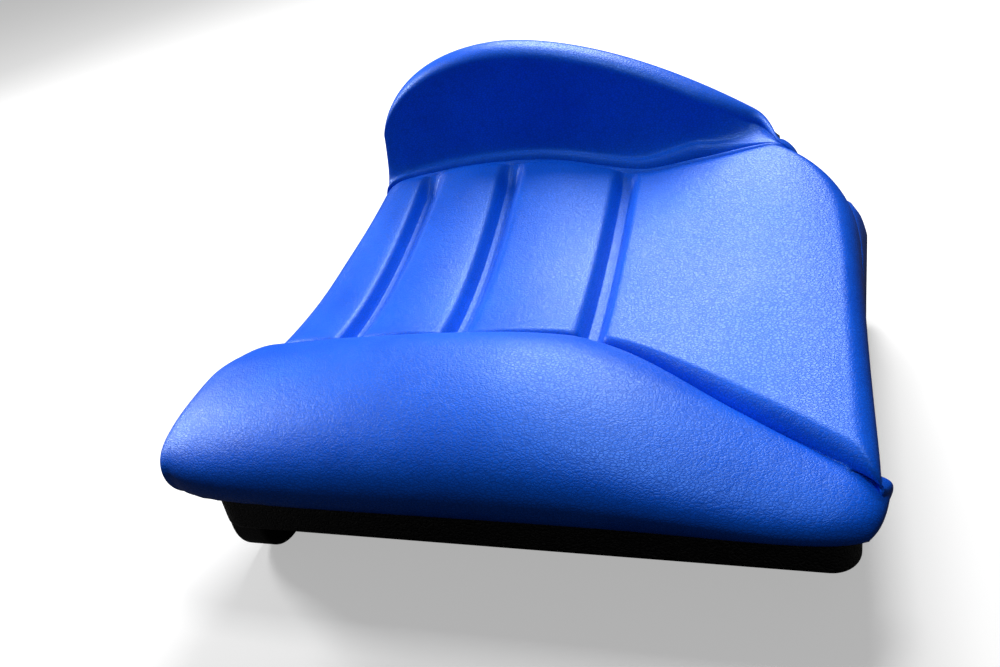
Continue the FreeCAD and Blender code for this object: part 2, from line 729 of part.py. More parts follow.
def makeBrackets(screws):
    items = []
    for side in (-1, 1):
        x = "%d * bracketSpacing / 2" % side
        name = "bracket%d" % (side + 1)
        foot = box(name + "Foot", x, "backFoot - bracketLeg", boardTop, "bracketWidth", "bracketLeg",
                   "bracketThickness")
        upright = doc.addObject("Part::Box", name + "Upright")
        bind(upright, Length="bracketWidth", Width="bracketThickness", Height="bracketLeg")
        upright.Placement = leaned(side * size("bracketSpacing") / 2 - size("bracketWidth") / 2,
                                   -size("bracketThickness"), 0)
        items.append(cut(name, fuse(name + "Solid", [foot, upright]), screws))
    keep(group("brackets", items), "angle_brackets")


def makeShellScrews():
    # from behind, through the shell and the hem's plane into the back board
    seat = shellStart + size("backShellThickness")
    start = size("backBoardThickness") - size("screwBite")
    grip = "screwBite + hemThickness + stapleWire + padGap + backShellThickness"
    items = []
    for i, x in enumerate((size("shellScrewLeft"), size("shellScrewRight"))):
        for j in (0, 1):
            z = size("shellScrewLow") + j * size("shellScrewRise")
            items.append(leanedScrew("shellScrew%d%d" % (i, j), x, seat, z, start, grip))
    return keep(group("shellScrews", items), "back_shell_screws")


def makeBackHem(staples, screws):
    start = size("backBoardThickness")
    outer = backPanel("backHemSheet", "hemThickness", 0, start, backRise)
    inner = backPanel("backHemWindow", "hemThickness", -size("backHemWidth"), start, backRise)
    pierced = cut("backHemPierced", cut("backHemOpened", outer, inner), screws)
    keep(cut("backHem", pierced, staples), "back_cover_hem")


def makeBackBoard(driven):
    board = backPanel("backBoardBlank", "backBoardThickness", 0, 0, backRise)
    for i, item in enumerate(driven):
        board = cut("backBoardDriven%d" % i, board, item)
    keep(board, "back_board")


def makeBackShell(driven):
    # a dished panel behind the back, its lip turned forward round the board's edge
    margin = size("backShellMargin")
    start = shellStart - size("backShellLip")
    outer = backPanel("shellOuter", "backShellLip + backShellThickness", margin, start, backRise)
    inner = backPanel("shellInner", "backShellLip", margin - size("backShellThickness"), start, backRise)
    shell = cut("shellDished", outer, inner)
    for i, item in enumerate(driven):
        shell = cut("shellDriven%d" % i, shell, item)
    keep(shell, "back_shell")


def makeBackPad():
    # a pillow in front of the back board, its foot down behind the seat pads
    gap = size("padGap")
    lean = math.tan(math.radians(size("backLean")))
    low = size("backPadLow")
    sections = []
    left = size("backLeft") - size("backPadMargin")
    right = size("backRight") + size("backPadMargin") / 2
    for share in (0, 0.02, 0.06, 0.12, 0.2, 0.3, 0.45, 0.6, 0.75, 0.88, 0.96, 1):
        x = left + (right - left) * share
        fade = 0.6 + 0.4 * math.sin(math.pi / 2 * min(share / 0.12, (1 - share) / 0.12, 1))
        curve = size("backCurve") if x > size("backPeak") else size("backShoulder")
        across = min(abs(x - size("backPeak")), curve - 1)
        top = boardLevel + size("backBoardHeight") + size("backPadMargin") * fade
        top = top - curve + math.sqrt(curve ** 2 - across ** 2)
        crease = panHeight(x, 1) + 2
        top = max(top, crease + 14)
        plane = size("backFoot") - gap
        foot = Vec(x, plane + (low - boardLevel) * lean, low)
        crown = Vec(x, plane + (top - 7 - boardLevel) * lean, top - 7)
        thick = size("backPadThickness") * fade
        face = Vec(x, crown.y - thick * 0.85, top - 11)
        ridge = Vec(x, (crown.y + face.y) / 2, top)
        lip = Vec(x, size("panRear") + gap, crease)
        belly = (lip + face) * 0.5 + Vec(0, lip.z - face.z, 0) * size("backPadSwell")
        sections.append(section([foot, crown, (ridge, face), (belly, lip), Vec(x, lip.y, low)]))
    soft("back_pad", sections, ruled=True)


trayScrews = makeTrayScrews()
runnerScrews = makeRunnerScrews()
makeTray(runnerScrews)
makeRunner(-1, "left_runner", "runnerFrontGap", runnerScrews)
makeRunner(1, "right_runner", "rightRunnerFrontGap", runnerScrews)
makeFeet()
makeRail(-1, "front_rail")
makeRail(1, "rear_rail")
makeClamps()
seatStaples = makeSeatStaples()
makeHem(seatStaples)
bracketScrews = makeBracketScrews()
makeBrackets(bracketScrews)
makeSeatBoard([trayScrews, seatStaples, bracketScrews])
makeSlab()
makeRoll()
makeFlute("left_side_pad", leftPadEdge, size("leftChannel"), openLeft=True)
makeFlute("outer_flute_pad", size("leftChannel"), size("middleChannel"))
makeFlute("inner_flute_pad", size("middleChannel"), size("rightChannel"))
makeRightPad()
backStaples = makeBackStaples()
shellScrews = makeShellScrews()
makeBackHem(backStaples, shellScrews)
makeBackBoard([bracketScrews, shellScrews, backStaples])
makeBackShell([shellScrews])
makeBackPad()
doc.recompute()

for item in doc.Objects:
    if "Invalid" in item.State or "Error" in item.State:
        raise RuntimeError("%s is %s" % (item.Name, item.State))
for item in kept:
    if item.Shape.isNull() or not item.Shape.isValid() or not item.Shape.Solids:
        raise RuntimeError("%s has no valid solid" % item.Label)
for item in kept:
    item.Shape.exportStep("parts/%s.step" % item.Label)
    print("%-20s %2d solids %10.0f mm3" % (item.Label, len(item.Shape.Solids), item.Shape.Volume))
whole = Part.makeCompound([item.Shape for item in kept]).BoundBox
print("overall %.1f x %.1f x %.1f, from %.1f %.1f %.1f"
      % (whole.XLength, whole.YLength, whole.ZLength, whole.XMin, whole.YMin, whole.ZMin))
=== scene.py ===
import bpy
import math
import numpy as np
from mathutils import Matrix, Vector


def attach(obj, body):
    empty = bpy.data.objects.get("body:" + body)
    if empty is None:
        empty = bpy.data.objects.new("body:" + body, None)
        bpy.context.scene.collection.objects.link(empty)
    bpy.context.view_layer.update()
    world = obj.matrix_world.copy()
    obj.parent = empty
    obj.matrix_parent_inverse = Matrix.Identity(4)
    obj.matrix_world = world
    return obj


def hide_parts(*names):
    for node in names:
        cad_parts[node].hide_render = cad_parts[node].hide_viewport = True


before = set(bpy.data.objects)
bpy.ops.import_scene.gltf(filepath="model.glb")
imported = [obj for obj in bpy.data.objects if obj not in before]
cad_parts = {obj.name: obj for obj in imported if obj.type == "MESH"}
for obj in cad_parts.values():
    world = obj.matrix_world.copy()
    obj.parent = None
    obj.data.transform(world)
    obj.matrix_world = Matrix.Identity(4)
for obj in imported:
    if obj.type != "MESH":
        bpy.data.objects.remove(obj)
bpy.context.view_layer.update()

mm = 0.001

# Where the photograph was taken from: in front of the seat, a little to its right, looking down
view = {
    "turn": 22.9,                      # degrees round from straight ahead
    "rise": 30.6,                      # degrees above level
    "tilt": -11.8,                     # degrees that the picture leans
    "distance": 755.0,                 # mm from the point it looks at
    "target": (-32.0, -57.0, 123.0),   # mm
    "lens": 37.73,
}

# The cover's skin, in mm, measured from the frame's own axes; left is -X
cover = {
    "noseY": -222, "crestY": -120, "leftEnd": -239, "rightEnd": 233,
    "crestZ": 152, "crestLeftDrop": 16, "crestRightDrop": 45, "crestFallStart": -15, "crestFallWidth": 262,
    "roundFrom": -20, "roundLeft": 0.045, "roundRight": 0.055,
    "valleyY": -68, "valleyZ": 108, "sweep": 111, "sweepStart": 30, "sweepWidth": 198,
    "leftFront": -219, "leftRear": -208, "rightFront": 229, "rightRear": 209,
    "cornerCut": 44, "cornerStart": 0.7,
    "panFrontZ": 127,
    "channels": ((-152, -155), (-66, -80), (37, 24)),   # x at the valley, x at the crease
    "channelFloor": 8, "channelDepth": 9, "flank": 8, "fluteCrown": 3,
    "rearDrop": 4, "ridgeAt": 4, "troughDepth": 9, "troughEnd": 10,
    "lipWall": 4, "lipRound": 8, "rightLipRound": 13,
    "backLeft": -207, "backPeakX": -88, "backPeakZ": 256, "backShoulder": 75, "backFall": 89,
    "backRunOut": 158, "backRunFade": 16, "topThick": 16, "topRound": 11,
    "planeY": 183, "planeZ": 94.2, "lean": 0.158,
    "rimHalf": 216.5, "rimFront": -195.5, "rimRear": 195.5, "rimZ": 84.3,
    "rimCorner": 18, "rimRearCorner": 42,
    "backFootInset": 9, "backFootRight": 139, "wall": 1.2, "gather": 0.7, "foldX": -158, "foldDepth": 3.2,
    "columns": (26, 8, 26, 8, 26, 8, 72), "rollRows": 64, "panRows": 76, "creaseRows": 14, "backRows": 46,
    "edgeRows": 15,
}


def ease(t):
    t = np.clip(t, 0.0, 1.0)
    return t * t * (3.0 - 2.0 * t)


def dome(t):
    # a quarter ellipse: steep at 0, level at 1
    t = np.clip(t, 0.0, 1.0)
    return np.sqrt(np.maximum(1.0 - (1.0 - t) ** 2, 0.0))


def through(x, stops):
    # a smooth line through a few (x, value) stops
    xs, ys = np.array(stops, float).T
    slope = np.gradient(ys, xs)
    i = np.clip(np.searchsorted(xs, x) - 1, 0, len(xs) - 2)
    w = xs[i + 1] - xs[i]
    t = np.clip((x - xs[i]) / w, 0, 1)
    return ((2 * t ** 3 - 3 * t ** 2 + 1) * ys[i] + (t ** 3 - 2 * t ** 2 + t) * w * slope[i]
            + (3 * t ** 2 - 2 * t ** 3) * ys[i + 1] + (t ** 3 - t ** 2) * w * slope[i + 1])


def newMesh(name, points, faces):
    mesh = bpy.data.meshes.new(name)
    mesh.from_pydata([tuple(p) for p in points], [], faces)
    mesh.update()
    mesh.polygons.foreach_set("use_smooth", [True] * len(mesh.polygons))
    piece = bpy.data.objects.new(name, mesh)
    bpy.context.scene.collection.objects.link(piece)
    return piece


# Lines that the skin follows, each a function of x
def panEdge(x):
    # the pan's front edge: level to the right channel, then sweeping forward to the right corner
    c = cover
    return c["valleyY"] - c["sweep"] * np.clip((x - c["sweepStart"]) / c["sweepWidth"], 0, 1.04) ** 1.35


def valleyFloor(x):
    return panEdge(x) - 9 * ease((x - 60) / 90)


def noseHeight(x):
    return through(x, ((-250, 108), (-150, 105), (100, 103), (170, 96), (250, 91)))


def crestLine(x):
    return cover["crestY"] - 44 * ease((x - 20) / 200) - 12 * ease((x - 150) / 60)


def crestHeight(x):
    # highest a little left of the middle, with a long fall to the right
    c = cover
    left = c["crestLeftDrop"] * (np.clip(-x, 0, 225) / 200) ** 2
    return c["crestZ"] - left - c["crestRightDrop"] * ease((x - c["crestFallStart"]) / c["crestFallWidth"])


def floorHeight(x):
    c = cover
    low = np.minimum(c["valleyZ"] - 3 * ease((x - 60) / 80) + 4 * ease((x - 160) / 30), crestHeight(x) - 3)
    return low + 8 * ease((x - 192) / 36)


def creaseLine(x):
    return through(x, ((-230, 155), (-200, 158), (-150, 163), (-100, 167), (-40, 167), (0, 162), (35, 155),
                       (85, 156), (150, 157), (230, 150)))


def panHeight(x, q):
    # q runs from 0 at the valley to 1 at the crease
    front = cover["panFrontZ"] - 12 * (np.clip(-x, 0, 220) / 216) ** 2 - 4 * (np.clip(x, 0, 220) / 216) ** 2
    rear = through(x, ((-230, 136), (-200, 147), (-150, 156), (-100, 160), (-40, 159), (0, 154), (35, 152),
                       (85, 159), (150, 169), (230, 160)))
    sag = 7 * ease((60 - x) / 120) + 2
    return front + (rear - front) * q ** 1.5 - sag * 4 * q * (1 - q) * (1 - 0.4 * q)


def backTop(x):
    c = cover
    right = np.maximum(x - c["backPeakX"], 0) / 241
    left = np.clip((c["backPeakX"] - x) / (c["backPeakX"] - c["backLeft"] + 2), 0, 1)
    return c["backPeakZ"] - c["backFall"] * right ** 1.75 - c["backShoulder"] * (1 - np.sqrt(1 - left ** 2))


def boardFace(z):
    # the front of the back board, which the cover is drawn round
    return cover["planeY"] + cover["lean"] * (z - cover["planeZ"])


def channelDip(x, q):
    # the channels' depth: a flat floor between two round shoulders
    c = cover
    dip = np.zeros_like(x)
    for front, rear in c["channels"]:
        away = np.abs(x - front - (rear - front) * q) - c["channelFloor"] / 2
        dip = np.maximum(dip, 1 - ease(away / c["flank"]) * 0.8 - 0.2 * dome(away / c["flank"] / 2))
    return dip * c["channelDepth"] * (1 - 0.55 * ease((q - 0.9) / 0.1))


def fluteCrown(x, q):
    # each flute swells between its channels
    c = cover
    lines = [front + (rear - front) * q for front, rear in c["channels"]]
    swell = np.zeros_like(x)
    for left, right in ((c["leftFront"], lines[0]), (lines[0], lines[1]), (lines[1], lines[2])):
        t = np.clip((x - left) / (right - left), 0, 1)
        swell = np.maximum(swell, 4 * t * (1 - t))
    return swell * c["fluteCrown"]


def columnsAcross(left, right, q):
    # x of every column in one row; the columns keep to the channels' edges
    c = cover
    stops = [left]
    for front, rear in c["channels"]:
        middle = front + (rear - front) * q
        stops += [middle - c["channelFloor"] / 2, middle + c["channelFloor"] / 2]
    stops.append(right)
    xs = []
    for i, count in enumerate(c["columns"]):
        t = np.arange(count) / count
        if i % 2 == 0:
            t = 0.5 - 0.5 * np.cos(np.pi * t)
        xs.append(stops[i] + (stops[i + 1] - stops[i]) * t)
    return np.concatenate(xs + [np.array([right])])


def roundedRow(x, y, z, levels, radius):
    # brings the ends of a row down to the outline's levels, like round edges
    across = (x - x[0]) / (x[-1] - x[0])
    level = levels[0] + (levels[1] - levels[0]) * across
    fade = dome((x - x[0]) / radius) ** 0.8 * dome((x[-1] - x) / radius) ** 0.8
    return np.stack([x, y + np.zeros_like(x), level + (z - level) * fade], axis=1)


def rollRows():
    # half a turn from the nose over the crest into the valley
    c = cover
    rows = []
    for i in range(c["rollRows"]):
        share = i / c["rollRows"]
        turn = math.pi * share
        late = float(ease((share - 0.45) / 0.55))
        left = c["leftEnd"] + (c["leftFront"] - c["leftEnd"]) * late
        right = c["rightEnd"] + (c["rightFront"] - c["rightEnd"]) * late
        x = columnsAcross(left, right, 0.0)
        crestY, crestZ, nose = crestLine(x), crestHeight(x), noseHeight(x)
        if turn < math.pi / 2:
            y = crestY - (crestY - c["noseY"]) * math.cos(turn)
            z = nose + (crestZ - nose) * math.sin(turn)
        else:
            low = floorHeight(x)
            y = crestY + (valleyFloor(x) - crestY) * math.sin(turn - math.pi / 2)
            z = low + (crestZ - low) * math.cos(turn - math.pi / 2) ** 0.8
        levels = (through(share, ((0, 108), (0.2, 118), (0.5, 121), (0.8, 110), (1, 103))),
                  through(share, ((0, 91), (0.3, 95), (0.6, 100), (1, 105))))
        rows.append(roundedRow(x, y, z, levels, 27 - 10 * late))
    return rows


def panRows():
    # from the valley to the crease, the front edges of the pads rounded
    c = cover
    rows = []
    for i in range(c["panRows"]):
        t = i / (c["panRows"] - 1)
        q = 0.5 - 0.5 * math.cos(math.pi * t)
        left = c["leftFront"] + (c["leftRear"] - c["leftFront"]) * q
        right = c["rightFront"] + (c["rightRear"] - c["rightFront"]) * q ** 0.7
        right -= c["cornerCut"] * max((q - c["cornerStart"]) / (1 - c["cornerStart"]), 0) ** 3
        x = columnsAcross(left, right, q)
        start = valleyFloor(x)
        y = start + (creaseLine(x) - start) * q
        low = floorHeight(x)
        edge = dome((y - start) / (10 + 4 * ease((x - 60) / 90)))
        rear = c["rearDrop"] * (1 - dome((creaseLine(x) - y) / 9)) * rearMask(x)
        z = panHeight(x, q) + fluteCrown(x, q) - np.maximum(channelDip(x, q), rear)
        z = low + (z - low) * edge
        levels = (through(q, ((0, 103), (0.1, 104), (0.37, 107), (0.58, 114), (0.87, 122), (1, 128))),
                  105 + 22 * q ** 3)
        rows.append(roundedRow(x, y, z, levels, 15 + 24 * max(q - 0.6, 0)))
    return rows


def rearMask(x):
    # the crease fades out towards both ends of the back
    return ease((x - cover["backLeft"] + 8) / 34) * ease((168 - x) / 60)


def creaseRows(last):
    # a thin ridge, then a narrow trough in front of the back's lip
    c = cover
    rows = []
    x = last[:, 0]
    mask = rearMask(x)
    dip = channelDip(x, 1)
    for i in range(1, c["creaseRows"]):
        t = i / (c["creaseRows"] - 1)
        behind = c["troughEnd"] * t
        y = creaseLine(x) + behind * (0.3 + 0.7 * mask)
        rise = float(ease(behind / c["ridgeAt"]))
        fall = float(ease((behind - c["ridgeAt"] - 0.5) / 3.5))
        start = np.maximum(dip, c["rearDrop"] * mask)
        depth = start + (1.0 * mask - start) * rise + c["troughDepth"] * mask * fall
        z = panHeight(x, 1) + fluteCrown(x, 1) * (1 - rise) - depth
        rows.append(roundedRow(x, y, z, (128 + 4 * t, 127 + 8 * t), 24))
    return rows


def backRows(last):
    # up over the lip and the face to the top edge
    c = cover
    rows = []
    for i in range(1, c["backRows"]):
        t = i / (c["backRows"] - 1)
        shrink = float(ease(t / 0.25))
        left = last[0, 0] + (c["backLeft"] - last[0, 0]) * shrink
        x = left + (last[:, 0] - last[0, 0]) * (last[-1, 0] - left) / (last[-1, 0] - last[0, 0])
        startY, startZ = last[:, 1], last[:, 2]
        # the back ends short of the pan's right corner
        runOut = ease((c["backRunOut"] - x) / c["backRunFade"])
        top = startZ + 1.5 + np.maximum(backTop(x) - startZ - 1.5, 0) * runOut
        tall = np.clip((top - startZ) / 60, 0, 1)
        lip = (c["lipRound"] + (c["rightLipRound"] - c["lipRound"]) * ease((x - 20) / 60)) * tall
        lip *= 0.35 + 0.65 * ease((x - c["backLeft"]) / 30)
        lipZ = startZ + c["lipWall"] * tall + lip
        lipY = startY + lip * 0.85
        edgeZ = top - np.minimum(c["topRound"], (top - startZ) * 0.4)
        full = ease((top - startZ) / 26)   # falls to nothing where the back runs out at the right
        edgeY = np.maximum(boardFace(top) - c["topThick"] * np.clip(tall, 0.3, 1), lipY)
        edgeY = lipY + (edgeY - lipY) * full
        if t < 0.3:
            turn = math.pi / 2 * t / 0.3
            y = startY + (lipY - startY) * (1 - math.cos(turn))
            z = startZ + (lipZ - startZ) * math.sin(turn)
        elif t < 0.75:
            s = (t - 0.3) / 0.45
            y = lipY + (edgeY - lipY) * s ** 0.6
            z = lipZ + (edgeZ - lipZ) * s ** 1.25
        else:
            turn = math.pi / 2 * (t - 0.75) / 0.25
            y = edgeY + ((boardFace(top) + 3 - edgeY) * full + 2 * (1 - full)) * (1 - math.cos(turn))
            z = edgeZ + (top - edgeZ) * math.sin(turn)
        rows.append(np.stack([x, y, z], axis=1))
    return rows


def rimPoint(outline):
    # the nearest place on the tray's rim to each point of the outline
    c = cover
    x, y = outline[:, 0], outline[:, 1]
    y = y + 70 * ease((y - 90) / 70)   # the rear of the outline is carried to the rear rim
    corner = np.where(y < 0, c["rimCorner"], c["rimRearCorner"]).astype(float)
    cx = np.clip(x, corner - c["rimHalf"], c["rimHalf"] - corner)
    cy = np.clip(y, c["rimFront"] + corner, c["rimRear"] - corner)
    length = np.maximum(np.hypot(x - cx, y - cy), 1e-6)
    return np.stack([cx + (x - cx) / length * corner, cy + (y - cy) / length * corner,
                     np.full_like(x, c["rimZ"])], axis=1)


def boardPoint(outline):
    # where the cover meets the back board's face, just inside the back's outline
    c = cover
    x = np.clip(outline[:, 0], c["backLeft"] + c["backFootInset"], c["backFootRight"])
    z = np.minimum(outline[:, 2] - c["backFootInset"] * 0.5, backTop(x) - c["backFootInset"])
    return np.stack([x, boardFace(z) + 0.5, z], axis=1)


def buildCover():
    c = cover
    rows = rollRows() + panRows()
    rows += creaseRows(rows[-1])
    firstBack = len(rows)
    rows += backRows(rows[-1])
    grid = np.array(rows)
    count, across, _ = grid.shape
    # the roll's two front corners turn in a round
    a = np.clip(np.abs(grid[..., 0]) / c["rightEnd"], 0, 1)
    b = np.clip((c["roundFrom"] - grid[..., 1]) / (c["roundFrom"] - c["noseY"]), 0, 1)
    pull = 1 - np.where(grid[..., 0] < 0, c["roundLeft"], c["roundRight"]) * a ** 8 * b ** 8
    grid[..., 0] *= pull
    grid[..., 1] = c["roundFrom"] + (grid[..., 1] - c["roundFrom"]) * pull
    flat = grid.reshape(-1, 3)
    faces = [(k, k + 1, k + across + 1, k + across) for i in range(count - 1)
             for k in range(i * across, i * across + across - 1)]
    # the edge strip, from the outline in to the tray's rim or to the back board
    ring = list(range(across)) + [i * across + across - 1 for i in range(1, count)]
    ring += [(count - 1) * across + j for j in range(across - 2, -1, -1)]
    ring += [i * across for i in range(count - 2, 0, -1)]
    outline = flat[ring]
    onBack = np.zeros(len(ring))
    for k, index in enumerate(ring):
        row, column = divmod(index, across)
        if row == count - 1:
            onBack[k] = float(ease((152 - outline[k, 0]) / 12))
        elif column == 0:
            onBack[k] = float(ease((row - firstBack + 6) / 14))
    onBack = onBack[:, None]
    # where the outline stands inside the rim the strip slopes out to it, and elsewhere it tucks in under
    middle = np.clip(outline[:, :2], [-150, -130], [150, 120])
    foot = rimPoint(outline) * (1 - onBack) + boardPoint(outline) * onBack
    reach = np.linalg.norm(outline[:, :2] - middle, axis=1) - np.linalg.norm(foot[:, :2] - middle, axis=1)
    slopes = ease(0.5 - reach / 8)[:, None] * (1 - onBack)
    low = 1 - onBack[:, 0]
    nearFold = np.exp(-((outline[:, 0] - c["foldX"]) / 3.5) ** 2) * (outline[:, 1] < -150)
    pucker = (np.sin(outline[:, 0] * 0.62 + outline[:, 1] * 0.71) * 0.6
              + np.sin(outline[:, 0] * 0.37 - outline[:, 1] * 0.29 + 1.3) * 0.4)
    pucker *= c["gather"] * (0.35 + 0.65 * ease((-outline[:, 0] - 120) / 60))
    layers = [flat]
    previous = ring
    for step in range(1, c["edgeRows"] + 1):
        turn = math.pi / 2 * step / c["edgeRows"]
        inward = math.cos(turn) ** 0.7
        tucked = foot + (outline - foot) * np.array([inward, inward, 1 - math.sin(turn)])
        part = step / c["edgeRows"]
        sloped = foot + (outline - foot) * np.array([1 - part ** 0.7, 1 - part ** 0.7, 1 - part ** 2.2])
        layer = tucked * (1 - slopes) + sloped * slopes
        sink = (pucker * math.sin(turn) ** 3 - c["foldDepth"] * nearFold * math.sin(turn) ** 5) * low
        away = layer[:, :2] - foot[:, :2]
        length = np.maximum(np.hypot(away[:, 0], away[:, 1]), 6.0)
        layer[:, :2] += away / length[:, None] * sink[:, None] * (step < c["edgeRows"])
        layers.append(layer)
        start = len(flat) + (step - 1) * len(ring)
        current = [start + k for k in range(len(ring))]
        for k in range(len(ring)):
            m = (k + 1) % len(ring)
            faces.append((previous[m], previous[k], current[k], current[m]))
        previous = current
    return np.concatenate(layers) * mm, faces


# Node groups that several materials share
def newGroup(name, inputs, outputs):
    tree = bpy.data.node_groups.new(name, "ShaderNodeTree")
    for label, value in inputs:
        socket = tree.interface.new_socket(label, in_out="INPUT", socket_type="NodeSocketFloat")
        socket.default_value = value
    for label in outputs:
        tree.interface.new_socket(label, in_out="OUTPUT", socket_type="NodeSocketFloat")
    return tree, tree.nodes.new("NodeGroupInput"), tree.nodes.new("NodeGroupOutput")


def addNode(tree, kind, inputs=None, **settings):
    node = tree.nodes.new(kind)
    for key, value in settings.items():
        setattr(node, key, value)
    for key, value in (inputs or {}).items():
        if isinstance(value, bpy.types.NodeSocket):
            tree.links.new(value, node.inputs[key])
        else:
            node.inputs[key].default_value = value
    return node


def maths(tree, operation, first, second=0.0):
    return addNode(tree, "ShaderNodeMath", {0: first, 1: second}, operation=operation).outputs[0]


def makeGrain():
    # pressed grain: rounded cells with creases between them, broken up by finer noise
    tree, given, result = newGroup("pressedGrain", (("Scale", 600.0), ("Fine", 0.3), ("Stretch", 0.8)),
                                   ("Height", "Crease"))
    place = addNode(tree, "ShaderNodeTexCoord").outputs["Object"]
    warp = addNode(tree, "ShaderNodeTexNoise", {"Vector": place, "Scale": 90.0, "Detail": 2.0})
    shift = addNode(tree, "ShaderNodeVectorMath", {0: warp.outputs["Color"], "Scale": 0.0035},
                    operation="SCALE").outputs[0]
    moved = addNode(tree, "ShaderNodeVectorMath", {0: place, 1: shift}, operation="ADD").outputs[0]
    narrow = {"X": given.outputs["Stretch"], "Y": 1.0, "Z": 1.0}
    narrow = addNode(tree, "ShaderNodeCombineXYZ", narrow).outputs[0]
    pulled = addNode(tree, "ShaderNodeVectorMath", {0: moved, 1: narrow}, operation="MULTIPLY").outputs[0]
    cells = addNode(tree, "ShaderNodeTexVoronoi", {"Vector": pulled, "Scale": given.outputs["Scale"]},
                    feature="DISTANCE_TO_EDGE").outputs["Distance"]
    crease = addNode(tree, "ShaderNodeMapRange", {"Value": cells, "From Min": 0.0, "From Max": 0.22},
                     interpolation_type="SMOOTHSTEP").outputs[0]
    finer = maths(tree, "MULTIPLY", given.outputs["Scale"], 3.1)
    noise = addNode(tree, "ShaderNodeTexNoise", {"Vector": place, "Scale": finer, "Detail": 3.0})
    noise = maths(tree, "MULTIPLY", noise.outputs["Fac"], given.outputs["Fine"])
    tree.links.new(maths(tree, "ADD", crease, noise), result.inputs["Height"])
    tree.links.new(maths(tree, "SUBTRACT", 1.0, crease), result.inputs["Crease"])
    return tree


def makeHandling():
    # broad uneven rubbing, and light dust that settles on what faces up
    tree, given, result = newGroup("handling", (("Size", 12.0), ("Dust", 0.3)), ("Rub", "Dust"))
    coords = addNode(tree, "ShaderNodeTexCoord")
    broad = addNode(tree, "ShaderNodeTexNoise", {
        "Vector": coords.outputs["Object"], "Scale": given.outputs["Size"], "Detail": 5.0,
        "Roughness": 0.62}).outputs["Fac"]
    rub = addNode(tree, "ShaderNodeMapRange", {"Value": broad, "From Min": 0.35, "From Max": 0.68}).outputs[0]
    normal = addNode(tree, "ShaderNodeNewGeometry").outputs["Normal"]
    up = addNode(tree, "ShaderNodeSeparateXYZ", {"Vector": normal}).outputs["Z"]
    specks = addNode(tree, "ShaderNodeTexNoise", {"Vector": coords.outputs["Object"], "Scale": 420.0,
                                                  "Detail": 4.0}).outputs["Fac"]
    settled = addNode(tree, "ShaderNodeMapRange", {"Value": specks, "From Min": 0.56, "From Max": 0.72})
    level = addNode(tree, "ShaderNodeMapRange", {"Value": up, "From Min": 0.2, "From Max": 0.95})
    dust = maths(tree, "MULTIPLY", settled.outputs[0], level.outputs[0])
    dust = maths(tree, "MULTIPLY", dust, given.outputs["Dust"])
    tree.links.new(rub, result.inputs["Rub"])
    tree.links.new(dust, result.inputs["Dust"])
    return tree


grainGroup = makeGrain()
handlingGroup = makeHandling()


def newMaterial(name, **values):
    # values that are the same all over stand on the shader's own sockets
    made = bpy.data.materials.new(name)
    made.use_nodes = True
    shader = made.node_tree.nodes["Principled BSDF"]
    for key, value in values.items():
        shader.inputs[key.replace("_", " ")].default_value = value
    return made, made.node_tree, shader


def placeGroup(tree, group, **inputs):
    node = addNode(tree, "ShaderNodeGroup", node_tree=group)
    for key, value in inputs.items():
        node.inputs[key].default_value = value
    return node


def mixColours(tree, factor, first, second):
    node = addNode(tree, "ShaderNodeMix", {"Factor": factor}, data_type="RGBA")
    for socket, value in ((node.inputs[6], first), (node.inputs[7], second)):
        if isinstance(value, bpy.types.NodeSocket):
            tree.links.new(value, socket)
        else:
            socket.default_value = (*value, 1)
    return node.outputs[2]


def grained(name, dark, light, rough, grain, bump, dust=0.3, rubSize=12.0, **values):
    # pressed vinyl or moulded plastic: two near shades, its grain in bump and gloss
    made, tree, shader = newMaterial(name, **values)
    cells = placeGroup(tree, grainGroup, Scale=grain[0], Fine=grain[1], Stretch=grain[2])
    wear = placeGroup(tree, handlingGroup, Size=rubSize, Dust=dust)
    colour = mixColours(tree, wear.outputs["Rub"], dark, light)
    deep = tuple(part * 0.55 for part in dark)
    colour = mixColours(tree, maths(tree, "MULTIPLY", cells.outputs["Crease"], 0.45), colour, deep)
    pale = tuple(min(part + 0.16, 1) for part in light)
    colour = mixColours(tree, maths(tree, "MULTIPLY", wear.outputs["Dust"], 0.25), colour, pale)
    tree.links.new(colour, shader.inputs["Base Color"])
    gloss = maths(tree, "MULTIPLY", cells.outputs["Crease"], 0.12)
    gloss = maths(tree, "ADD", gloss, maths(tree, "MULTIPLY", wear.outputs["Rub"], 0.07))
    gloss = maths(tree, "ADD", gloss, rough)
    tree.links.new(gloss, shader.inputs["Roughness"])
    relief = addNode(tree, "ShaderNodeBump", {"Height": cells.outputs["Height"], "Strength": bump[0],
                                              "Distance": bump[1]})
    tree.links.new(relief.outputs["Normal"], shader.inputs["Normal"])
    return made, tree, relief


def makeVinyl():
    made, tree, relief = grained("blue_vinyl", (0.0, 0.088, 0.72), (0.0, 0.118, 0.86), 0.33,
                                 (520.0, 0.35, 0.75), (0.22, 0.0004), dust=0.0,
                                 Specular_IOR_Level=0.5, Specular_Tint=(0.3, 0.62, 1.0, 1))
    # soft wrinkles under the grain
    place = addNode(tree, "ShaderNodeTexCoord").outputs["Object"]
    wrinkle = addNode(tree, "ShaderNodeTexNoise", {"Vector": place, "Scale": 150.0, "Detail": 3.0,
                                                   "Distortion": 0.6}).outputs["Fac"]
    under = addNode(tree, "ShaderNodeBump", {"Height": wrinkle, "Strength": 0.22, "Distance": 0.0012})
    tree.links.new(under.outputs["Normal"], relief.inputs["Normal"])
    return made


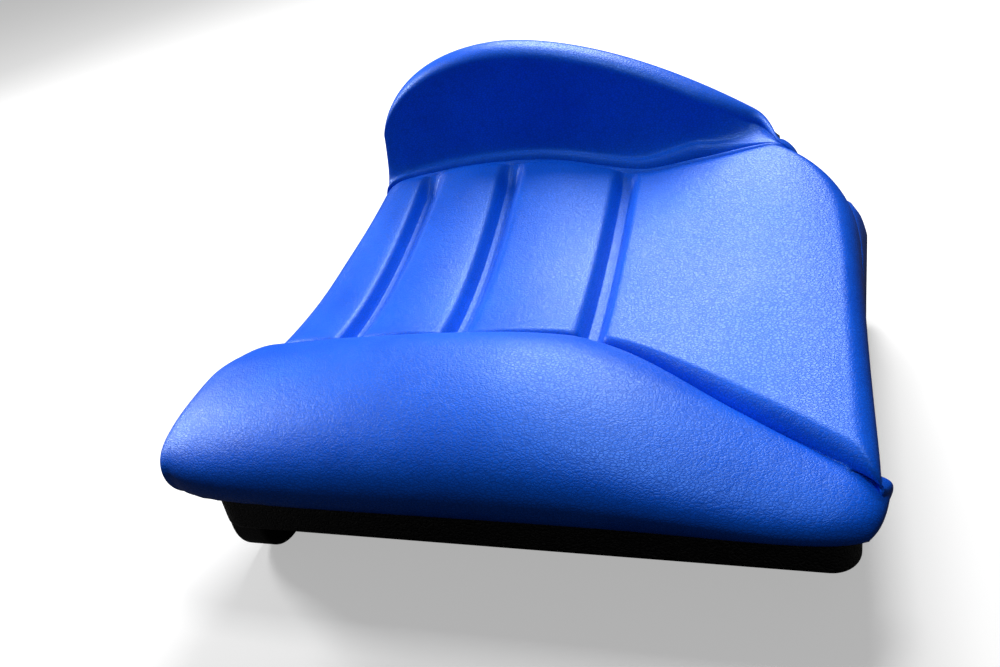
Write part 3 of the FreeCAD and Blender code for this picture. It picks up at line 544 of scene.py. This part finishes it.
def makePlywood():
    made, tree, shader = newMaterial("birch_plywood", Specular_IOR_Level=0.35)
    place = addNode(tree, "ShaderNodeTexCoord").outputs["Object"]
    along = addNode(tree, "ShaderNodeMapping", {"Vector": place, "Scale": (1.0, 9.0, 9.0)}).outputs[0]
    figure = addNode(tree, "ShaderNodeTexNoise", {"Vector": along, "Scale": 22.0, "Detail": 6.0,
                                                  "Distortion": 0.7}).outputs["Fac"]
    plies = addNode(tree, "ShaderNodeTexWave", {"Vector": place, "Scale": 110.0, "Distortion": 0.4},
                    bands_direction="Z").outputs["Fac"]
    normal = addNode(tree, "ShaderNodeNewGeometry").outputs["Normal"]
    up = maths(tree, "ABSOLUTE", addNode(tree, "ShaderNodeSeparateXYZ", {"Vector": normal}).outputs["Z"])
    side = maths(tree, "LESS_THAN", up, 0.5)
    colour = mixColours(tree, figure, (0.52, 0.34, 0.18), (0.68, 0.50, 0.31))
    colour = mixColours(tree, maths(tree, "MULTIPLY", maths(tree, "MULTIPLY", plies, side), 0.7), colour,
                        (0.26, 0.14, 0.07))
    tree.links.new(colour, shader.inputs["Base Color"])
    tree.links.new(maths(tree, "ADD", maths(tree, "MULTIPLY", figure, 0.2), 0.5), shader.inputs["Roughness"])
    relief = addNode(tree, "ShaderNodeBump", {"Height": figure, "Strength": 0.3, "Distance": 0.0003})
    tree.links.new(relief.outputs["Normal"], shader.inputs["Normal"])
    return made


def makeSteel(name, dark, light, rough, metallic):
    # plated or painted steel with fine scratches
    made, tree, shader = newMaterial(name, Metallic=metallic)
    place = addNode(tree, "ShaderNodeTexCoord").outputs["Object"]
    drawn = addNode(tree, "ShaderNodeMapping", {"Vector": place, "Scale": (1.0, 14.0, 4.0)}).outputs[0]
    lines = {"Vector": drawn, "Scale": 160.0, "Detail": 4.0}
    lines = addNode(tree, "ShaderNodeTexNoise", lines).outputs["Fac"]
    wear = placeGroup(tree, handlingGroup, Size=60.0, Dust=0.2)
    tree.links.new(mixColours(tree, wear.outputs["Rub"], dark, light), shader.inputs["Base Color"])
    gloss = maths(tree, "ADD", maths(tree, "MULTIPLY", lines, 0.25), rough)
    tree.links.new(maths(tree, "ADD", gloss, wear.outputs["Dust"]), shader.inputs["Roughness"])
    relief = addNode(tree, "ShaderNodeBump", {"Height": lines, "Strength": 0.2, "Distance": 0.0001})
    tree.links.new(relief.outputs["Normal"], shader.inputs["Normal"])
    return made


skirtPlastic = grained("pebbled_plastic", (0.006, 0.006, 0.007), (0.013, 0.012, 0.012), 0.30,
                       (360.0, 0.25, 0.9), (0.75, 0.0011), dust=0.2)[0]
runnerPlastic = grained("runner_plastic", (0.007, 0.007, 0.007), (0.014, 0.013, 0.012), 0.36,
                        (520.0, 0.25, 1.0), (0.5, 0.0006), dust=0.3)[0]
shellPlastic = grained("shell_plastic", (0.008, 0.008, 0.009), (0.015, 0.015, 0.016), 0.34,
                       (900.0, 0.5, 1.0), (0.3, 0.0003), dust=0.3)[0]
hemVinyl = grained("hem_backing", (0.012, 0.03, 0.12), (0.02, 0.05, 0.2), 0.55, (700.0, 0.6, 1.0),
                   (0.5, 0.0004), dust=0.4)[0]
footRubber = grained("foot_rubber", (0.01, 0.01, 0.01), (0.022, 0.021, 0.02), 0.62, (1400.0, 0.8, 1.0),
                     (0.5, 0.0003), dust=0.6)[0]
plywood = makePlywood()
zincPlate = makeSteel("zinc_plate", (0.42, 0.42, 0.40), (0.62, 0.61, 0.57), 0.24, 1.0)
blackPaint = makeSteel("black_paint", (0.012, 0.012, 0.013), (0.028, 0.028, 0.03), 0.34, 0.0)

finishes = {
    "base_tray": skirtPlastic, "left_runner": runnerPlastic, "right_runner": runnerPlastic,
    "back_shell": shellPlastic, "foot_pads": footRubber, "front_rail": blackPaint, "rear_rail": blackPaint,
    "seat_board": plywood, "back_board": plywood, "seat_cover_hem": hemVinyl, "back_cover_hem": hemVinyl,
}
replaced = ("front_roll", "left_side_pad", "outer_flute_pad", "inner_flute_pad", "right_side_pad",
            "seat_foam_slab", "back_pad")


def finishNodes():
    for name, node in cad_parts.items():
        finish = finishes.get(name, zincPlate)
        if not node.material_slots:
            node.data.materials.append(finish)
        for place in node.material_slots:
            place.material = finish


def makeCover():
    points, faces = buildCover()
    skin = newMesh("seat_cover", points, faces)
    skin.data.materials.append(makeVinyl())
    wall = skin.modifiers.new("wall", "SOLIDIFY")
    wall.thickness = cover["wall"] * mm
    wall.offset = -1
    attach(skin, "root")
    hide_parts(*replaced)
    print("cover", len(points), "points")


# Screws behind the back: domed heads with a cross recess, one at each place on the shell; sizes in mm
backScrews = {
    "places": ((-150, 34), (105, 34), (-150, 80), (105, 80)),   # x, and height up the leaned back
    "seat": 14.1,                                               # the shell's outer face, back from the plane
    "lean": 9.0,                                                # degrees
    "sizes": {"Head Radius": 4.5, "Head Height": 2.5, "Recess Width": 1.1, "Recess Length": 5.2},
}


def screwTree():
    tree = bpy.data.node_groups.new("crossHeadScrews", "GeometryNodeTree")
    tree.interface.new_socket("Geometry", in_out="INPUT", socket_type="NodeSocketGeometry")
    for label, value in backScrews["sizes"].items():
        socket = tree.interface.new_socket(label, in_out="INPUT", socket_type="NodeSocketFloat")
        socket.default_value = value * mm
    tree.interface.new_socket("Geometry", in_out="OUTPUT", socket_type="NodeSocketGeometry")
    given = tree.nodes.new("NodeGroupInput").outputs
    result = tree.nodes.new("NodeGroupOutput")

    def size(x, y, z):
        return addNode(tree, "ShaderNodeCombineXYZ", {"X": x, "Y": y, "Z": z}).outputs[0]

    ball = addNode(tree, "GeometryNodeMeshUVSphere", {"Segments": 32, "Rings": 16, "Radius": 1.0})
    squashed = size(given["Head Radius"], given["Head Radius"], given["Head Height"])
    head = {"Geometry": ball.outputs["Mesh"], "Scale": squashed}
    head = addNode(tree, "GeometryNodeTransform", head).outputs[0]
    bars = []
    for x, y in (("Recess Width", "Recess Length"), ("Recess Length", "Recess Width")):
        bar = addNode(tree, "GeometryNodeMeshCube", {"Size": size(given[x], given[y], given["Head Height"])})
        bars.append(addNode(tree, "GeometryNodeTransform", {
            "Geometry": bar.outputs["Mesh"], "Translation": size(0.0, 0.0, given["Head Height"])}).outputs[0])
    recessed = addNode(tree, "GeometryNodeMeshBoolean", {"Mesh 1": head}, operation="DIFFERENCE")
    for bar in bars:
        tree.links.new(bar, recessed.inputs["Mesh 2"])
    placed = addNode(tree, "GeometryNodeInstanceOnPoints", {
        "Points": given["Geometry"], "Instance": recessed.outputs["Mesh"],
        "Rotation": (math.radians(-90 - backScrews["lean"]), 0.0, 0.0)}).outputs[0]
    real = addNode(tree, "GeometryNodeRealizeInstances", {"Geometry": placed}).outputs[0]
    coated = addNode(tree, "GeometryNodeSetMaterial", {"Geometry": real, "Material": zincPlate}).outputs[0]
    tree.links.new(coated, result.inputs[0])
    return tree


def makeBackScrews():
    b = backScrews
    slope = math.radians(b["lean"])
    points = []
    for x, rise in b["places"]:
        y = cover["planeY"] + b["seat"] * math.cos(slope) + rise * math.sin(slope)
        z = cover["planeZ"] - b["seat"] * math.sin(slope) + rise * math.cos(slope)
        points.append((x * mm, y * mm, z * mm))
    marks = newMesh("screwPlaces", points, [])
    step = marks.modifiers.new("screws", "NODES")
    step.node_group = screwTree()
    bpy.context.view_layer.update()
    mesh = bpy.data.meshes.new_from_object(marks.evaluated_get(bpy.context.evaluated_depsgraph_get()))
    heads = bpy.data.objects.new("back_screw_heads", mesh)
    bpy.context.scene.collection.objects.link(heads)
    bpy.data.objects.remove(marks)
    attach(heads, "root")
    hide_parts("back_shell_screws")
    print("screw heads", len(heads.data.polygons), "faces")


makeCover()
finishNodes()
makeBackScrews()
print("finishes on", len(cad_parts), "nodes")


def makeCamera():
    turn, rise, tilt = (math.radians(view[k]) for k in ("turn", "rise", "tilt"))
    out = Vector((math.sin(turn) * math.cos(rise), -math.cos(turn) * math.cos(rise), math.sin(rise)))
    side = Vector((math.cos(turn), math.sin(turn), 0))
    up = out.cross(side)
    side, up = (side * math.cos(tilt) + up * math.sin(tilt), up * math.cos(tilt) - side * math.sin(tilt))
    data = bpy.data.cameras.new("camera")
    data.lens = view["lens"]
    data.sensor_width = 36
    camera = bpy.data.objects.new("camera", data)
    bpy.context.scene.collection.objects.link(camera)
    place = (Vector(view["target"]) + out * view["distance"]) * mm
    camera.matrix_world = Matrix((side, up, out)).transposed().to_4x4()
    camera.location = place
    bpy.context.scene.camera = camera


def areaLight(name, place, target, width, power):
    data = bpy.data.lights.new(name, "AREA")
    data.size = width
    data.energy = power
    lamp = bpy.data.objects.new(name, data)
    bpy.context.scene.collection.objects.link(lamp)
    lamp.location = place
    lamp.rotation_euler = (Vector(target) - Vector(place)).to_track_quat("-Z", "Y").to_euler()


# The surroundings, in metres and watts: a softbox overhead, one far to the left, and a key from behind
studio = {
    "floorHalf": 8, "floorSeen": (0.62, 0.62, 0.62), "floorThrown": (0.04, 0.04, 0.04), "floorGlow": 0.42,
    "sky": 0.07,
    "lamps": (("overhead", (0.1, 0.0, 1.4), (0, 0, 0.1), 0.35, 6),
              ("leftBox", (-1.4, 0.4, 0.9), (-0.1, -0.1, 0.12), 0.4, 17),
              ("rearKey", (-0.2, 1.3, 1.5), (0, 0, 0.1), 0.9, 44)),   # name, place, target, width, power
}


def makeFloor():
    # the camera sees it white, and it throws little light back on the seat
    half = studio["floorHalf"]
    floor = newMesh("floor", [(-half, -half, 0), (half, -half, 0), (half, half, 0), (-half, half, 0)],
                    [(0, 1, 2, 3)])
    made = bpy.data.materials.new("pale_floor")
    made.use_nodes = True
    tree = made.node_tree
    shader = tree.nodes["Principled BSDF"]
    shader.inputs["Roughness"].default_value = 0.9
    shader.inputs["Specular IOR Level"].default_value = 0.0
    seen = addNode(tree, "ShaderNodeLightPath").outputs["Is Camera Ray"]
    colour = mixColours(tree, seen, studio["floorThrown"], studio["floorSeen"])
    tree.links.new(colour, shader.inputs["Base Color"])
    shader.inputs["Emission Color"].default_value = (1, 1, 1, 1)
    tree.links.new(maths(tree, "MULTIPLY", seen, studio["floorGlow"]), shader.inputs["Emission Strength"])
    floor.data.materials.append(made)


makeCamera()
bpy.context.scene.view_settings.view_transform = "Standard"
world = bpy.data.worlds.new("studio")
world.use_nodes = True
world.node_tree.nodes["Background"].inputs["Color"].default_value = (1, 1, 1, 1)
world.node_tree.nodes["Background"].inputs["Strength"].default_value = studio["sky"]
bpy.context.scene.world = world
for lamp in studio["lamps"]:
    areaLight(*lamp)
makeFloor()
print("camera, floor and", len(studio["lamps"]), "lights")
